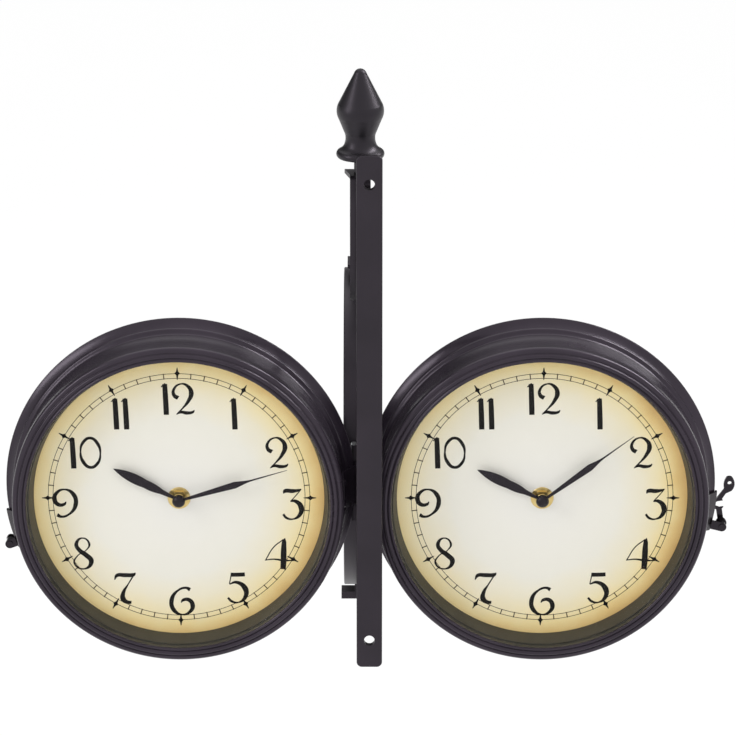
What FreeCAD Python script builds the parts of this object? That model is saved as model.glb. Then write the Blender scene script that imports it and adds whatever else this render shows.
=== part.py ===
"""Double sided station clock: two round half cases that open like a book on a wall bracket.

The row frame: the wall is the plane y = 0, +Y points into the room, +Z is up and the origin lies
midway between the two screw holes of the wall bar. Both half cases stand open, so both dials face
the wall side (-Y). Closed, they meet back to back on the centre ring.

Each half case is described by r, the distance from the axis of its dial, and w, the height above
the plane on which it closes. Open, w runs toward -Y.
"""
import math
import os

import FreeCAD
import Part
import Sketcher

doc = FreeCAD.newDocument("station_clock")
sheet = doc.addObject("Spreadsheet::Sheet", "Sizes")

SIZES = [
    # the wall bar and where the clock hangs beside it
    ("bar_width", 19.0), ("bar_thick", 5.0), ("bar_length", 395.0), ("bar_corner", 4.0),
    ("bar_edge", 1.2), ("screw_hole", 8.0), ("hole_inset", 21.5),
    ("clock_aside", 6.5), ("clock_drop", 74.0), ("open_gap", 4.5),
    # the strap that carries the ring, with its widened end under the finial
    ("strap_width", 15.0), ("strap_thick", 3.0), ("shelf_level", 178.0), ("shelf_reach", 36.0),
    ("fishtail_width", 23.0), ("fishtail_length", 16.0), ("shelf_turn", 14.0),
    ("shelf_corner", 5.0), ("strap_touch", 150.0), ("strap_leave", 122.0), ("strap_bend", 45.0),
    ("strap_pad", 20.5),
    # the stay under the ring
    ("stay_width", 5.6), ("stay_thick", 4.0), ("stay_top", 126.0), ("stay_leave", 148.0),
    ("stay_bend", 22.0), ("foot_width", 31.0), ("foot_thick", 6.0), ("foot_length", 14.0),
    ("foot_drop", 5.0), ("rivet_up", 8.0),
    # the finial on its spigot
    ("finial_back", 25.0), ("finial_lift", 12.0), ("finial_height", 65.6), ("finial_widest", 17.1),
    ("finial_neck", 10.7), ("finial_foot", 17.4), ("spigot_radius", 4.6),
    ("screw_shank", 4.0), ("screw_head", 7.0), ("head_height", 2.2),
    # the ring between the halves, its lugs and the hinge
    ("ring_inset", 7.0), ("ring_wall", 1.5), ("seat_gap", 8.0), ("ring_nest", 5.0),
    ("lug_width", 10.0), ("lug_length", 24.0), ("rim_clear", 0.8),
    ("pin_aside", 5.0), ("pin_inset", 1.0), ("pin_behind", 3.0), ("pin_radius", 1.3),
    ("pin_fit", 0.05), ("knuckle_radius", 2.6), ("knuckle_length", 12.0), ("knuckle_gap", 0.3),
    ("saddle_thick", 1.2), ("saddle_height", 96.0), ("spine_half", 1.8), ("rivet_radius", 1.6),
    # one half case: the spun shell and the bezel, their radii counted inward from the rim
    ("rim_radius", 131.0), ("rim_edge", 1.5), ("bead_inset", 6.7), ("bead_level", 8.2),
    ("wall_inset", 9.5), ("wall_start", 12.5), ("wall_end", 47.0), ("sheet", 1.2),
    ("case_depth", 52.5), ("bezel_inset", 8.0), ("bezel_skirt", 6.0),
    ("fit_gap", 0.1), ("seat_clear", 0.3), ("plate_gap", 0.2),
    # and inside the wall of the shell, counted inward from it
    ("lip_inset", 10.5), ("groove_inset", 2.7), ("step_inset", 8.9), ("mouth_inset", 12.7),
    ("reveal_inset", 13.5), ("dial_inset", 3.5), ("post_inset", 7.5),
    # glass and dial
    ("glass_thick", 2.0), ("glass_level", 46.0), ("dial_thick", 1.0), ("dial_level", 31.5),
    ("post_radius", 3.0),
    # the quartz movement
    ("movement_side", 56.0), ("movement_depth", 15.7), ("case_wall", 1.5), ("cell_radius", 7.0),
    ("cell_length", 49.5), ("bay_drop", 17.0), ("contact_thick", 0.6), ("knob_radius", 5.5),
    ("knob_height", 4.0), ("knob_up", 13.0), ("knob_shaft", 1.6),
    ("stem_radius", 4.0), ("stem_height", 3.6), ("stem_bore", 3.2), ("running_gap", 0.08),
    ("washer_radius", 8.5), ("washer_thick", 0.6), ("nut_flats", 11.0), ("nut_thick", 2.0),
    # the hands
    ("arbor_radius", 1.6), ("hand_thick", 0.5), ("hour_level", 36.0), ("minute_level", 38.0),
    ("hour_length", 54.0), ("hour_half_width", 3.2), ("minute_length", 84.0),
    ("minute_half_width", 2.6), ("hub_radius", 4.2), ("cap_radius", 4.8), ("cap_height", 4.2),
    # the latch across the seam
    ("latch_beyond", 6.2), ("latch_drop", 34.4), ("stud_within", 1.2), ("stud_drop", 48.0),
    ("plate_height", 31.0), ("plate_turn", 5.0), ("plate_thick", 1.6), ("ear_radius", 3.4), ("ear_thick", 1.6),
    ("hook_thick", 2.0), ("neck_radius", 1.8), ("neck_fit", 0.08), ("hook_hub", 4.2),
    ("hook_arm", 4.4), ("jaw_radius", 4.5), ("jaw_hole", 2.3), ("jaw_play", 0.6),
    ("hook_tilt", 9.0), ("handle_hole", 1.5),
]

HAND_ANGLES = {"left": (-62.8, 73.3), "right": (-63.8, 52.9)}
LATCH_NAMES = {"left": "keeper", "right": "latch"}


class Size:
    """A length that knows both its value and the formula on the sheet that gives it."""

    def __init__(self, text, value):
        self.text = text
        self.value = value

    def join(self, other, sign, value):
        right = other.text if isinstance(other, Size) else repr(float(other))
        return Size("(" + self.text + " " + sign + " " + right + ")", value)

    def __add__(self, other):
        return self.join(other, "+", self.value + number(other))

    def __sub__(self, other):
        return self.join(other, "-", self.value - number(other))

    def __mul__(self, other):
        return self.join(other, "*", self.value * number(other))

    def __truediv__(self, other):
        return self.join(other, "/", self.value / number(other))

    def __neg__(self):
        return self * -1.0


def number(size):
    return size.value if isinstance(size, Size) else float(size)


def sqrt(size):
    return Size("sqrt(" + size.text + ")", math.sqrt(size.value))


def fill_sheet():
    for row, (name, value) in enumerate(SIZES, start=1):
        sheet.set("A%d" % row, name)
        sheet.set("B%d" % row, str(value))
        sheet.setAlias("B%d" % row, name)
    doc.recompute()
    return {name: Size("Sizes." + name, value) for name, value in SIZES}


S = fill_sheet()

# where things stand in the row frame
CLOCK_X = -S["clock_aside"]
CLOCK_Z = -S["clock_drop"]
SEAT_Y = S["bar_thick"] + S["open_gap"] + S["case_depth"]
PIN_Y = SEAT_Y + S["pin_behind"]
PIN_CIRCLE = S["rim_radius"] - S["pin_inset"]
RING_Y = PIN_Y + PIN_CIRCLE
CASE_REACH = S["pin_aside"] + PIN_CIRCLE
LUG_RADIUS = S["rim_radius"] + S["rim_clear"]
FOOT_RADIUS = LUG_RADIUS + S["foot_drop"]
RING_RADIUS = S["rim_radius"] - S["ring_inset"]
RING_HALF = S["seat_gap"] + S["ring_nest"]

# the radii of one half case
BEAD_RADIUS = S["rim_radius"] - S["bead_inset"]
WALL_RADIUS = S["rim_radius"] - S["wall_inset"]
BEZEL_RADIUS = S["rim_radius"] - S["bezel_inset"]
LIP_RADIUS = WALL_RADIUS - S["lip_inset"]
GROOVE_RADIUS = WALL_RADIUS - S["groove_inset"]
STEP_RADIUS = WALL_RADIUS - S["step_inset"]
MOUTH_RADIUS = WALL_RADIUS - S["mouth_inset"]
REVEAL_RADIUS = WALL_RADIUS - S["reveal_inset"]
DIAL_RADIUS = WALL_RADIUS - S["dial_inset"]
POST_CIRCLE = WALL_RADIUS - S["post_inset"]

# the posts of the latch, beside and below the dial's axis
LATCH_OUT = S["rim_radius"] + S["latch_beyond"]
STUD_OUT = S["rim_radius"] - S["stud_within"]

LATCH_PLACES = {"left": (STUD_OUT, S["stud_drop"], S["jaw_play"]),
                "right": (LATCH_OUT, S["latch_drop"], S["neck_fit"])}

nodes = {}
sign_of = {"left": -1.0, "right": 1.0}


def bind(thing, prop, size):
    if isinstance(size, Size):
        thing.setExpression(prop, size.text)
    else:
        setattr(thing, prop, size)


def place(thing, at, axis=None, angle=0.0):
    """Put a thing at three sizes, turned about an axis through that point."""
    turn = FreeCAD.Rotation(FreeCAD.Vector(*axis), number(angle)) if axis else FreeCAD.Rotation()
    thing.Placement = FreeCAD.Placement(FreeCAD.Vector(*[number(part) for part in at]), turn)
    for letter, size in zip("xyz", at):
        if isinstance(size, Size):
            thing.setExpression("Placement.Base." + letter, size.text)
    return thing


def keep(name, thing):
    """Name the finished piece; its label is its node's name."""
    thing.Label = name
    nodes[name] = thing
    return thing


def dome(radius, drop):
    """The radius of a round top that is flat where it meets the axis."""
    return (radius * radius + drop * drop) / (drop * 2.0)


def new_body(name, at, axis=None, angle=0.0):
    return place(doc.addObject("PartDesign::Body", name + "_body"), at, axis, angle)


def plane(body, role):
    return next(item for item in body.Origin.OriginFeatures if item.Role == role)


def new_sketch(body, role):
    sketch = body.newObject("Sketcher::SketchObject", body.Name + "_sketch")
    sketch.AttachmentSupport = [(plane(body, role), "")]
    sketch.MapMode = "FlatFace"
    return sketch


def pin_point(sketch, geometry, corner, point):
    for kind, size in zip(("DistanceX", "DistanceY"), point):
        index = sketch.addConstraint(Sketcher.Constraint(kind, -1, 1, geometry, corner, number(size)))
        if isinstance(size, Size):
            sketch.setExpression("Constraints[%d]" % index, size.text)


def arc_between(start, end, radius):
    """The arc of a radius from start to end; a negative radius bends it the other way."""
    x1, y1 = [number(size) for size in start]
    x2, y2 = [number(size) for size in end]
    half = math.hypot(x2 - x1, y2 - y1) / 2
    reach = math.sqrt(max(number(radius) ** 2 - half ** 2, 0.0))
    side = 1.0 if number(radius) > 0 else -1.0
    centre_x = (x1 + x2) / 2 - side * reach * (y2 - y1) / (2 * half)
    centre_y = (y1 + y2) / 2 + side * reach * (x2 - x1) / (2 * half)
    angles = [math.atan2(y1 - centre_y, x1 - centre_x), math.atan2(y2 - centre_y, x2 - centre_x)]
    circle = Part.Circle(FreeCAD.Vector(centre_x, centre_y, 0), FreeCAD.Vector(0, 0, 1),
                         abs(number(radius)))
    ends = angles if side > 0 else angles[::-1]
    return Part.ArcOfCircle(circle, ends[0], ends[1])


def outline(sketch, points, closed=True):
    """Draw a chain of points; a third entry makes the next stretch an arc of that radius."""
    count = len(points)
    pieces = []
    for index in range(count if closed else count - 1):
        start = points[index]
        end = points[(index + 1) % count]
        if len(start) == 3:
            piece = sketch.addGeometry(arc_between(start[:2], end[:2], start[2]), False)
            first, last = (1, 2) if number(start[2]) > 0 else (2, 1)
            radius = start[2] if number(start[2]) > 0 else start[2] * -1.0
            rule = sketch.addConstraint(Sketcher.Constraint("Radius", piece, number(radius)))
            if isinstance(radius, Size):
                sketch.setExpression("Constraints[%d]" % rule, radius.text)
        else:
            line = Part.LineSegment(FreeCAD.Vector(number(start[0]), number(start[1]), 0),
                                    FreeCAD.Vector(number(end[0]), number(end[1]), 0))
            piece = sketch.addGeometry(line, False)
            first, last = 1, 2
        pieces.append((piece, first, last))
    for index, (piece, first, last) in enumerate(pieces):
        pin_point(sketch, piece, first, points[index][:2])
        if closed or index + 1 < len(pieces):
            following = pieces[(index + 1) % len(pieces)]
            sketch.addConstraint(Sketcher.Constraint("Coincident", piece, last,
                                                     following[0], following[1]))
        else:
            pin_point(sketch, piece, last, points[index + 1][:2])
    return sketch


def add_circle(sketch, centre, radius):
    circle = Part.Circle(FreeCAD.Vector(number(centre[0]), number(centre[1]), 0),
                         FreeCAD.Vector(0, 0, 1), number(radius))
    piece = sketch.addGeometry(circle, False)
    pin_point(sketch, piece, 3, centre)
    rule = sketch.addConstraint(Sketcher.Constraint("Radius", piece, number(radius)))
    if isinstance(radius, Size):
        sketch.setExpression("Constraints[%d]" % rule, radius.text)


def revolve(body, points, role="XY_Plane", axis="V_Axis", sweep=360.0):
    """Turn an outline about one axis of its sketch."""
    sketch = outline(new_sketch(body, role), points)
    turned = body.newObject("PartDesign::Revolution", body.Name + "_turned")
    turned.Profile = sketch
    turned.ReferenceAxis = (sketch, [axis])
    bind(turned, "Angle", sweep)
    turned.Midplane = number(sweep) < 360.0
    sketch.Visibility = False
    return body


def pad(body, sketch, length, reverse=False, middle=False):
    padded = body.newObject("PartDesign::Pad", sketch.Name + "_pad")
    padded.Profile = sketch
    bind(padded, "Length", length)
    padded.Reversed = reverse
    padded.SideType = "Symmetric" if middle else "One side"
    sketch.Visibility = False
    return padded


def round_edges(body, padded, radius, wanted):
    """Round the edges of the pad that the test picks out."""
    doc.recompute()
    names = ["Edge%d" % (index + 1) for index, edge in enumerate(padded.Shape.Edges) if wanted(edge)]
    rounded = body.newObject("PartDesign::Fillet", padded.Name + "_round")
    rounded.Base = (padded, names)
    bind(rounded, "Radius", radius)


def cylinder(name, radius, length, at, axis=None, angle=0.0):
    solid = doc.addObject("Part::Cylinder", name)
    bind(solid, "Radius", radius)
    bind(solid, "Height", length)
    return place(solid, at, axis, angle)


def along_y(name, radius, length, at):
    """A cylinder that starts at a point and runs toward +Y."""
    return cylinder(name, radius, length, at, (1, 0, 0), -90.0)


def box(name, size, at):
    solid = doc.addObject("Part::Box", name)
    for prop, length in zip(("Length", "Width", "Height"), size):
        bind(solid, prop, length)
    return place(solid, at)


def fuse(name, shapes):
    joined = doc.addObject("Part::MultiFuse", name)
    joined.Shapes = shapes
    joined.Refine = True
    return joined


def cut(name, base, tools):
    tool = tools[0] if len(tools) == 1 else fuse(name + "_tools", tools)
    result = doc.addObject("Part::Cut", name)
    result.Base = base
    result.Tool = tool
    return result


def group(name, solids):
    """Loose solids that share one node, such as a set of screws."""
    bundle = doc.addObject("Part::Compound", name)
    bundle.Links = solids
    return bundle


# ---- the bracket ---------------------------------------------------------------------------

def wall_bar():
    """A flat steel bar with rounded corners and edges and a screw hole near each end."""
    body = new_body("wall_bar", (0, 0, 0))
    half = S["bar_width"] / 2
    top = S["bar_length"] / 2
    corner = S["bar_corner"]
    sketch = outline(new_sketch(body, "XZ_Plane"), [
        (half - corner, -top, corner), (half, -top + corner), (half, top - corner, corner),
        (half - corner, top), (-half + corner, top, corner), (-half, top - corner),
        (-half, -top + corner, corner), (-half + corner, -top)])
    padded = pad(body, sketch, S["bar_thick"], reverse=True)
    round_edges(body, padded, S["bar_edge"], lambda edge: edge.BoundBox.YLength < 0.001)
    level = top - S["hole_inset"]
    holes = [along_y("screw_hole", S["screw_hole"] / 2, S["bar_thick"] * 3,
                     (0.0, -S["bar_thick"], level * side)) for side in (1.0, -1.0)]
    return cut("wall_bar_drilled", body, holes + [nodes["bar_rivets"]])


def strap_pipe(body, path, width, thick, role):
    """A flat strap: a rectangle carried along a path in the plane of the ring."""
    spine = outline(new_sketch(body, "YZ_Plane"), path, closed=False)
    section = new_sketch(body, role)
    outline(section, [(-width / 2, -thick / 2), (width / 2, -thick / 2),
                      (width / 2, thick / 2), (-width / 2, thick / 2)])
    pipe = body.newObject("PartDesign::AdditivePipe", body.Name + "_pipe")
    pipe.Profile = section
    pipe.Spine = (spine, [])
    spine.Visibility = False
    section.Visibility = False


def ogee(start, end, first, along):
    """Two equal arcs from start to end, leaving and arriving along the same line."""
    run = end[along] - start[along]
    side = end[1 - along] - start[1 - along]
    radius = (run * run + side * side) / (side * 4.0) * first
    middle = ((start[0] + end[0]) / 2, (start[1] + end[1]) / 2)
    return [start + (radius,), middle + (-radius,)]


def scroll_strap():
    """The strap from the shelf under the finial down the bar and in an ogee out over the ring."""
    thick = S["strap_thick"]
    reach = S["shelf_reach"]
    middle = S["shelf_level"] - thick / 2
    body = new_body("scroll_strap", (CLOCK_X, reach, middle))
    corner = S["shelf_corner"]
    turn = S["shelf_turn"] - reach
    back = S["bar_thick"] + thick / 2 - reach
    bend = S["strap_bend"]
    leave = S["strap_leave"] - middle
    over = RING_Y - S["lug_length"] / 2 - reach
    low = CLOCK_Z + LUG_RADIUS + thick / 2 - middle
    path = [(reach * 0.0, middle * 0.0), (turn + corner, middle * 0.0, corner)]
    path += ogee((turn, -corner), (back, S["strap_touch"] - middle), 1.0, 1)
    path += [(back, S["strap_touch"] - middle), (back, leave, bend)]
    path += ogee((back + bend, leave - bend), (over, low), 1.0, 0)
    path += [(over, low), (over + S["lug_length"], low)]
    strap_pipe(body, path, S["strap_width"], thick, "XZ_Plane")
    flare = new_sketch(body, "XY_Plane")
    half = S["strap_width"] / 2
    wide = S["fishtail_width"] / 2
    length = S["fishtail_length"]
    outline(flare, [(-half, -length), (half, -length), (wide, 0.0), (-wide, 0.0)])
    pad(body, flare, thick, middle=True)
    return body


def ring_pad(name, width, length, thick, level):
    """A flat plate over or under the ring."""
    return box(name, (width, length, thick), (CLOCK_X - width / 2, RING_Y - length / 2, level))


def lower_stay():
    """A narrow stay from the bar, above its lower screw hole, out under the ring."""
    thick = S["stay_thick"]
    bend = S["stay_bend"]
    start = S["bar_thick"] + thick / 2
    body = new_body("lower_stay", (CLOCK_X, start, -S["stay_top"]))
    low = CLOCK_Z - FOOT_RADIUS - thick / 2 + S["stay_top"]
    leave = S["stay_top"] - S["stay_leave"]
    over = RING_Y - S["lug_length"] / 2 - start
    path = [(bend * 0.0, bend * 0.0), (bend * 0.0, leave, bend)]
    path += ogee((bend, leave - bend), (over, low), 1.0, 0)
    path += [(over, low), (over + S["lug_length"], low)]
    strap_pipe(body, path, S["stay_width"], thick, "XY_Plane")
    return body


def lower_stay_whole():
    """The stay with the wide foot plate at its end, drilled for its rivets and screw."""
    plate = ring_pad("foot_plate", S["foot_width"], S["foot_length"], S["foot_thick"],
                     CLOCK_Z - FOOT_RADIUS - S["foot_thick"])
    return cut("lower_stay_drilled", fuse("lower_stay_solid", [lower_stay(), plate]),
               [lug_hole("stay_lug_hole", -1.0), nodes["bar_rivets"]])


def finial():
    """A turned spear on a round foot, with the spigot that stands on the shelf."""
    foot = S["shelf_level"] + S["finial_lift"]
    body = new_body("finial", (CLOCK_X, S["finial_back"], foot))
    high = S["finial_height"]
    wide = S["finial_widest"]
    neck = S["finial_neck"]
    base = S["finial_foot"]
    spigot = S["spigot_radius"]
    bore = S["screw_shank"] / 2
    lift = S["finial_lift"]
    tip = neck * 0.43
    revolve(body, [
        (bore, -lift), (spigot, -lift), (spigot, 0.0), (base - 1.4, 0.0, 3.2), (base - 1.9, 5.6, -8.0),
        (neck + 0.6, high * 0.165, -12.0), (neck + 0.4, high * 0.267), (wide - 1.5, high * 0.436, 12.6),
        (wide - 0.9, high * 0.599), (tip, high - tip * 0.75, dome(tip, tip * 0.75)),
        (0.0, high), (0.0, 12.0), (bore, 12.0)], role="XZ_Plane")
    return body


def finial_screw():
    """The screw that holds the finial from under the shelf."""
    under = S["shelf_level"] - S["strap_thick"]
    at = (CLOCK_X, S["finial_back"], under)
    shank = cylinder("finial_shank", S["screw_shank"] / 2, S["strap_thick"] + 14.0, at)
    head = cylinder("finial_screw_head", S["screw_head"] / 2, S["head_height"],
                    (at[0], at[1], under - S["head_height"]))
    return fuse("finial_screw_whole", [shank, head])


def strap_with_pad():
    """The strap with its pad on the ring, drilled for rivets and for both screws."""
    hole = cylinder("shelf_hole", S["screw_shank"] / 2, S["strap_thick"] * 3,
                    (CLOCK_X, S["finial_back"], S["shelf_level"] - S["strap_thick"] * 2))
    plate = ring_pad("strap_end", S["strap_pad"], S["lug_length"], S["strap_thick"],
                     CLOCK_Z + LUG_RADIUS)
    return cut("scroll_strap_drilled", fuse("scroll_strap_solid", [scroll_strap(), plate]),
               [hole, lug_hole("strap_lug_hole", 1.0), nodes["bar_rivets"]])


def bar_rivets():
    """Rivets from the strap and the stay into the back of the bar."""
    edge = -S["bar_width"] / 2
    strap_x = (edge + CLOCK_X + S["strap_width"] / 2) / 2
    stay_x = (edge + CLOCK_X + S["stay_width"] / 2) / 2
    gap = S["rivet_up"]
    places = [(strap_x, S["strap_touch"] - gap, S["strap_thick"]),
              (strap_x, S["strap_leave"] + gap, S["strap_thick"]),
              (stay_x, -S["stay_top"] - gap * 0.6, S["stay_thick"]),
              (stay_x, -S["stay_leave"] + gap * 0.6, S["stay_thick"])]
    rivets = []
    for x, z, thick in places:
        shank = along_y("bar_rivet_shank", S["rivet_radius"], S["bar_thick"] / 2 + thick,
                        (x, S["bar_thick"] / 2, z))
        head = along_y("bar_rivet_head", S["rivet_radius"] * 1.6, 1.4, (x, S["bar_thick"] + thick, z))
        rivets.append(fuse("bar_rivet", [shank, head]))
    return group("bar_rivet_set", rivets)


def lug_hole(name, side):
    """A hole for a lug's screw, through ring, lug and plate; side +1 is the upper lug."""
    inner = RING_RADIUS - S["lug_width"] / 2
    length = FOOT_RADIUS - inner + S["foot_thick"] + S["lug_width"]
    at = (CLOCK_X, RING_Y, CLOCK_Z + inner if side > 0 else CLOCK_Z - inner - length)
    return cylinder(name, S["screw_shank"] / 2, length, at)


def centre_ring():
    """The band that the two halves close on."""
    body = new_body("centre_ring", (CLOCK_X, RING_Y, CLOCK_Z))
    outer = RING_RADIUS
    inner = outer - S["ring_wall"]
    edge = S["ring_wall"] * 0.4
    half = RING_HALF
    revolve(body, [(-half, inner), (half, inner), (half, outer - edge), (half - edge, outer),
                   (-half + edge, outer), (-half, outer - edge)], axis="H_Axis")
    return cut("centre_ring_whole", body,
               [lug_hole("ring_upper_hole", 1.0), lug_hole("ring_lower_hole", -1.0),
                nodes["hinge_rivets"]])


def lug(name, side):
    """A block between the ring and the plate beyond it, hollowed to sit on the ring."""
    width = S["lug_width"]
    length = S["lug_length"] if side > 0 else S["foot_length"]
    deep = width * 0.3
    outer = LUG_RADIUS if side > 0 else FOOT_RADIUS
    height = outer - RING_RADIUS + deep
    start = CLOCK_Z + outer - height if side > 0 else CLOCK_Z - outer
    block = box(name + "_block", (width, length, height),
                (CLOCK_X - width / 2, RING_Y - length / 2, start))
    saddle = cylinder(name + "_seat", RING_RADIUS, width * 2,
                      (CLOCK_X - width, RING_Y, CLOCK_Z), (0, 1, 0), 90.0)
    return cut(name + "_whole", block, [saddle, lug_hole(name + "_hole", side)])


def lug_screws():
    """One screw through each lug, its flat head tangent to the round inside of the ring."""
    screws = []
    bore = RING_RADIUS - S["ring_wall"]
    head = S["screw_head"] / 2
    inner = sqrt(bore * bore - head * head)
    for name, side, outer in (("upper", 1.0, LUG_RADIUS + S["strap_thick"]),
                              ("lower", -1.0, FOOT_RADIUS + S["foot_thick"])):
        reach = outer - inner
        start = CLOCK_Z + inner if side > 0 else CLOCK_Z - outer
        shank = cylinder(name + "_lug_shank", S["screw_shank"] / 2, reach, (CLOCK_X, RING_Y, start))
        head_z = CLOCK_Z + (inner - S["head_height"]) if side > 0 else CLOCK_Z - inner
        cap = cylinder(name + "_lug_head", head, S["head_height"], (CLOCK_X, RING_Y, head_z))
        screws.append(fuse(name + "_lug_screw", [shank, cap]))
    return group("lug_screw_set", screws)


def knuckle_levels():
    """The heights of the three fixed knuckles and of the two moving ones, as (start, length)."""
    length = S["knuckle_length"]
    gap = S["knuckle_gap"]
    fixed = [(-length * 2.5, length), (-length / 2, length), (length * 1.5, length)]
    moving = [(-length * 1.5 + gap, length - gap * 2), (length / 2 + gap, length - gap * 2)]
    return fixed, moving


def hinge_saddle():
    """The casting on the ring that carries both hinge pins, one for each half."""
    body = new_body("hinge_saddle", (CLOCK_X, RING_Y, CLOCK_Z))
    inner = RING_RADIUS
    half = RING_HALF - 2.0
    half_turn = S["saddle_height"] / RING_RADIUS * (180.0 / math.pi)
    revolve(body, [(-half, -inner), (half, -inner), (half, -inner - S["saddle_thick"]),
                   (-half, -inner - S["saddle_thick"])], axis="H_Axis", sweep=half_turn)
    solids = [body]
    fixed, moving = knuckle_levels()
    spine = S["spine_half"]
    front = PIN_Y - S["knuckle_radius"]
    back = RING_Y - RING_RADIUS - S["saddle_thick"] / 2
    height = S["knuckle_length"] * 5
    solids.append(box("hinge_spine", (spine * 2, back - front, height),
                      (CLOCK_X - spine, front, CLOCK_Z - height / 2)))
    bores = []
    for side in (-1.0, 1.0):
        pin_x = CLOCK_X + S["pin_aside"] * side
        for start, length in fixed:
            knuckle = cylinder("fixed_knuckle", S["knuckle_radius"], length,
                               (pin_x, PIN_Y, CLOCK_Z + start))
            web = box("fixed_web", (S["pin_aside"], S["knuckle_radius"] * 2, length),
                      (pin_x if side < 0 else CLOCK_X, front, CLOCK_Z + start))
            solids.extend([knuckle, web])
        bores.append(cylinder("pin_bore", S["pin_radius"], height * 1.4,
                              (pin_x, PIN_Y, CLOCK_Z - height * 0.7)))
    return cut("hinge_saddle_whole", fuse("hinge_saddle_solid", solids),
               bores + [nodes["hinge_rivets"]])


def hinge_pin(side):
    pin_x = CLOCK_X + S["pin_aside"] * side
    height = S["knuckle_length"] * 5
    shank = cylinder("pin_shank", S["pin_radius"], height + 0.5, (pin_x, PIN_Y, CLOCK_Z - height / 2))
    head = cylinder("pin_head", S["knuckle_radius"] * 0.85, 1.4, (pin_x, PIN_Y, CLOCK_Z + height / 2))
    return fuse("hinge_pin_whole", [shank, head])


def hinge_rivets():
    """Four rivets that hold the saddle on the ring, beyond the knuckles."""
    rivets = []
    inner = RING_RADIUS - S["ring_wall"]
    reach = S["ring_wall"] + S["saddle_thick"]
    end = math.degrees(S["saddle_height"].value / RING_RADIUS.value / 2)
    for share in (-0.88, -0.72, 0.72, 0.88):
        holder = new_body("hinge_rivet", (CLOCK_X, RING_Y, CLOCK_Z), (1, 0, 0), end * share)
        shank = S["rivet_radius"]
        head = shank * 1.8
        revolve(holder, [(0.0, -inner + 1.0), (head, -inner + 1.0), (head, -inner),
                         (shank, -inner), (shank, -inner - reach), (head, -inner - reach),
                         (head * 0.7, -inner - reach - 1.0), (0.0, -inner - reach - 1.0)])
        rivets.append(holder)
    return group("hinge_rivet_set", rivets)


# ---- one half case -------------------------------------------------------------------------

def case_at(side):
    return (CLOCK_X + CASE_REACH * side, SEAT_Y, CLOCK_Z)


def case_body(name, side, angle=0.0):
    return new_body(name, case_at(side), (0, 1, 0), angle)


def turned(name, side, points):
    """A piece turned about the dial's axis, drawn as (r, w)."""
    flipped = [(point[0], -point[1]) + tuple(-radius for radius in point[2:]) for point in points]
    return revolve(case_body(name, side), flipped)


def case_shell(side):
    """The spun shell: flared rim, small bead, straight wall and the lip under the bezel."""
    rim = S["rim_radius"]
    wall = WALL_RADIUS
    skin = S["sheet"]
    end = S["wall_end"]
    return turned("case_shell", side, [
        (rim, 0.0), (rim, S["rim_edge"]), (BEAD_RADIUS, S["bead_level"], 2.6),
        (wall + skin, S["wall_start"] - 1.0), (wall, S["wall_start"]), (wall, end),
        (LIP_RADIUS, end), (LIP_RADIUS, end - skin), (wall - skin, end - skin),
        (wall - skin, S["wall_start"] - 0.5), (wall, S["bead_level"] + 2.6),
        (BEAD_RADIUS - skin, S["bead_level"] - 0.8), (rim - skin * 1.2, S["rim_edge"] - 0.5),
        (rim - skin * 1.2, 0.0)])


def bezel(side):
    """The front ring with its rolled beads, the ledge of the glass and the tube to the dial."""
    out = BEZEL_RADIUS
    top = S["case_depth"]
    bottom = S["wall_end"] - S["bezel_skirt"]
    fit = WALL_RADIUS + S["fit_gap"]
    seat = S["wall_end"] + S["seat_clear"]
    groove = GROOVE_RADIUS
    step = STEP_RADIUS
    inner = MOUTH_RADIUS
    reveal = REVEAL_RADIUS
    tube = S["dial_level"] + S["seat_clear"]
    return turned("bezel", side, [
        (out, bottom), (out, top - 4.5, 3.6), (groove + 0.6, top - 1.7), (groove, top - 2.3, 3.4),
        (step + 1.8, top - 0.7), (step + 0.4, top - 1.4), (step, top - 1.0, 2.4),
        (inner, top - 1.2), (inner, S["glass_level"]), (reveal, S["glass_level"]),
        (reveal, tube), (reveal + 1.2, tube), (reveal + 2.2, seat), (fit, seat), (fit, bottom)])


def glass(side):
    """The flat pane on the ledge of the bezel."""
    edge = MOUTH_RADIUS - S["fit_gap"]
    low = S["glass_level"]
    high = low + S["glass_thick"]
    return turned("glass", side, [(0.0, low), (edge, low), (edge, high), (0.0, high)])


def dial(side):
    """The printed disc with the hole for the stem."""
    high = S["dial_level"]
    low = high - S["dial_thick"]
    hole = S["stem_radius"] + 0.2
    edge = DIAL_RADIUS
    return turned("dial", side, [(hole, low), (edge, low), (edge, high), (hole, high)])


def post_places():
    step = 360.0 / 4
    return [math.radians(step * index + step / 2) for index in range(4)]


def dial_posts(side):
    """Four posts between the lip of the shell and the face of the dial."""
    centre = case_at(side)
    high = S["wall_end"] - S["sheet"]
    solids = [along_y("dial_post", S["post_radius"], high - S["dial_level"],
                      (centre[0] + POST_CIRCLE * math.cos(turn), centre[1] - high,
                       centre[2] + POST_CIRCLE * math.sin(turn))) for turn in post_places()]
    return group("dial_post_set", solids)


def dial_screws(side):
    """Four screws from behind, through the dial and into the posts."""
    centre = case_at(side)
    low = S["dial_level"] - S["dial_thick"]
    solids = []
    for turn in post_places():
        x = centre[0] + POST_CIRCLE * math.cos(turn)
        z = centre[2] + POST_CIRCLE * math.sin(turn)
        shank = along_y("dial_screw_shank", S["post_radius"] / 2, 8.0,
                        (x, centre[1] - low - 8.0, z))
        head = along_y("dial_screw_head", S["post_radius"] - 0.2, S["head_height"],
                       (x, centre[1] - low, z))
        solids.append(fuse("dial_screw", [shank, head]))
    return group("dial_screw_set", solids)


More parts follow.
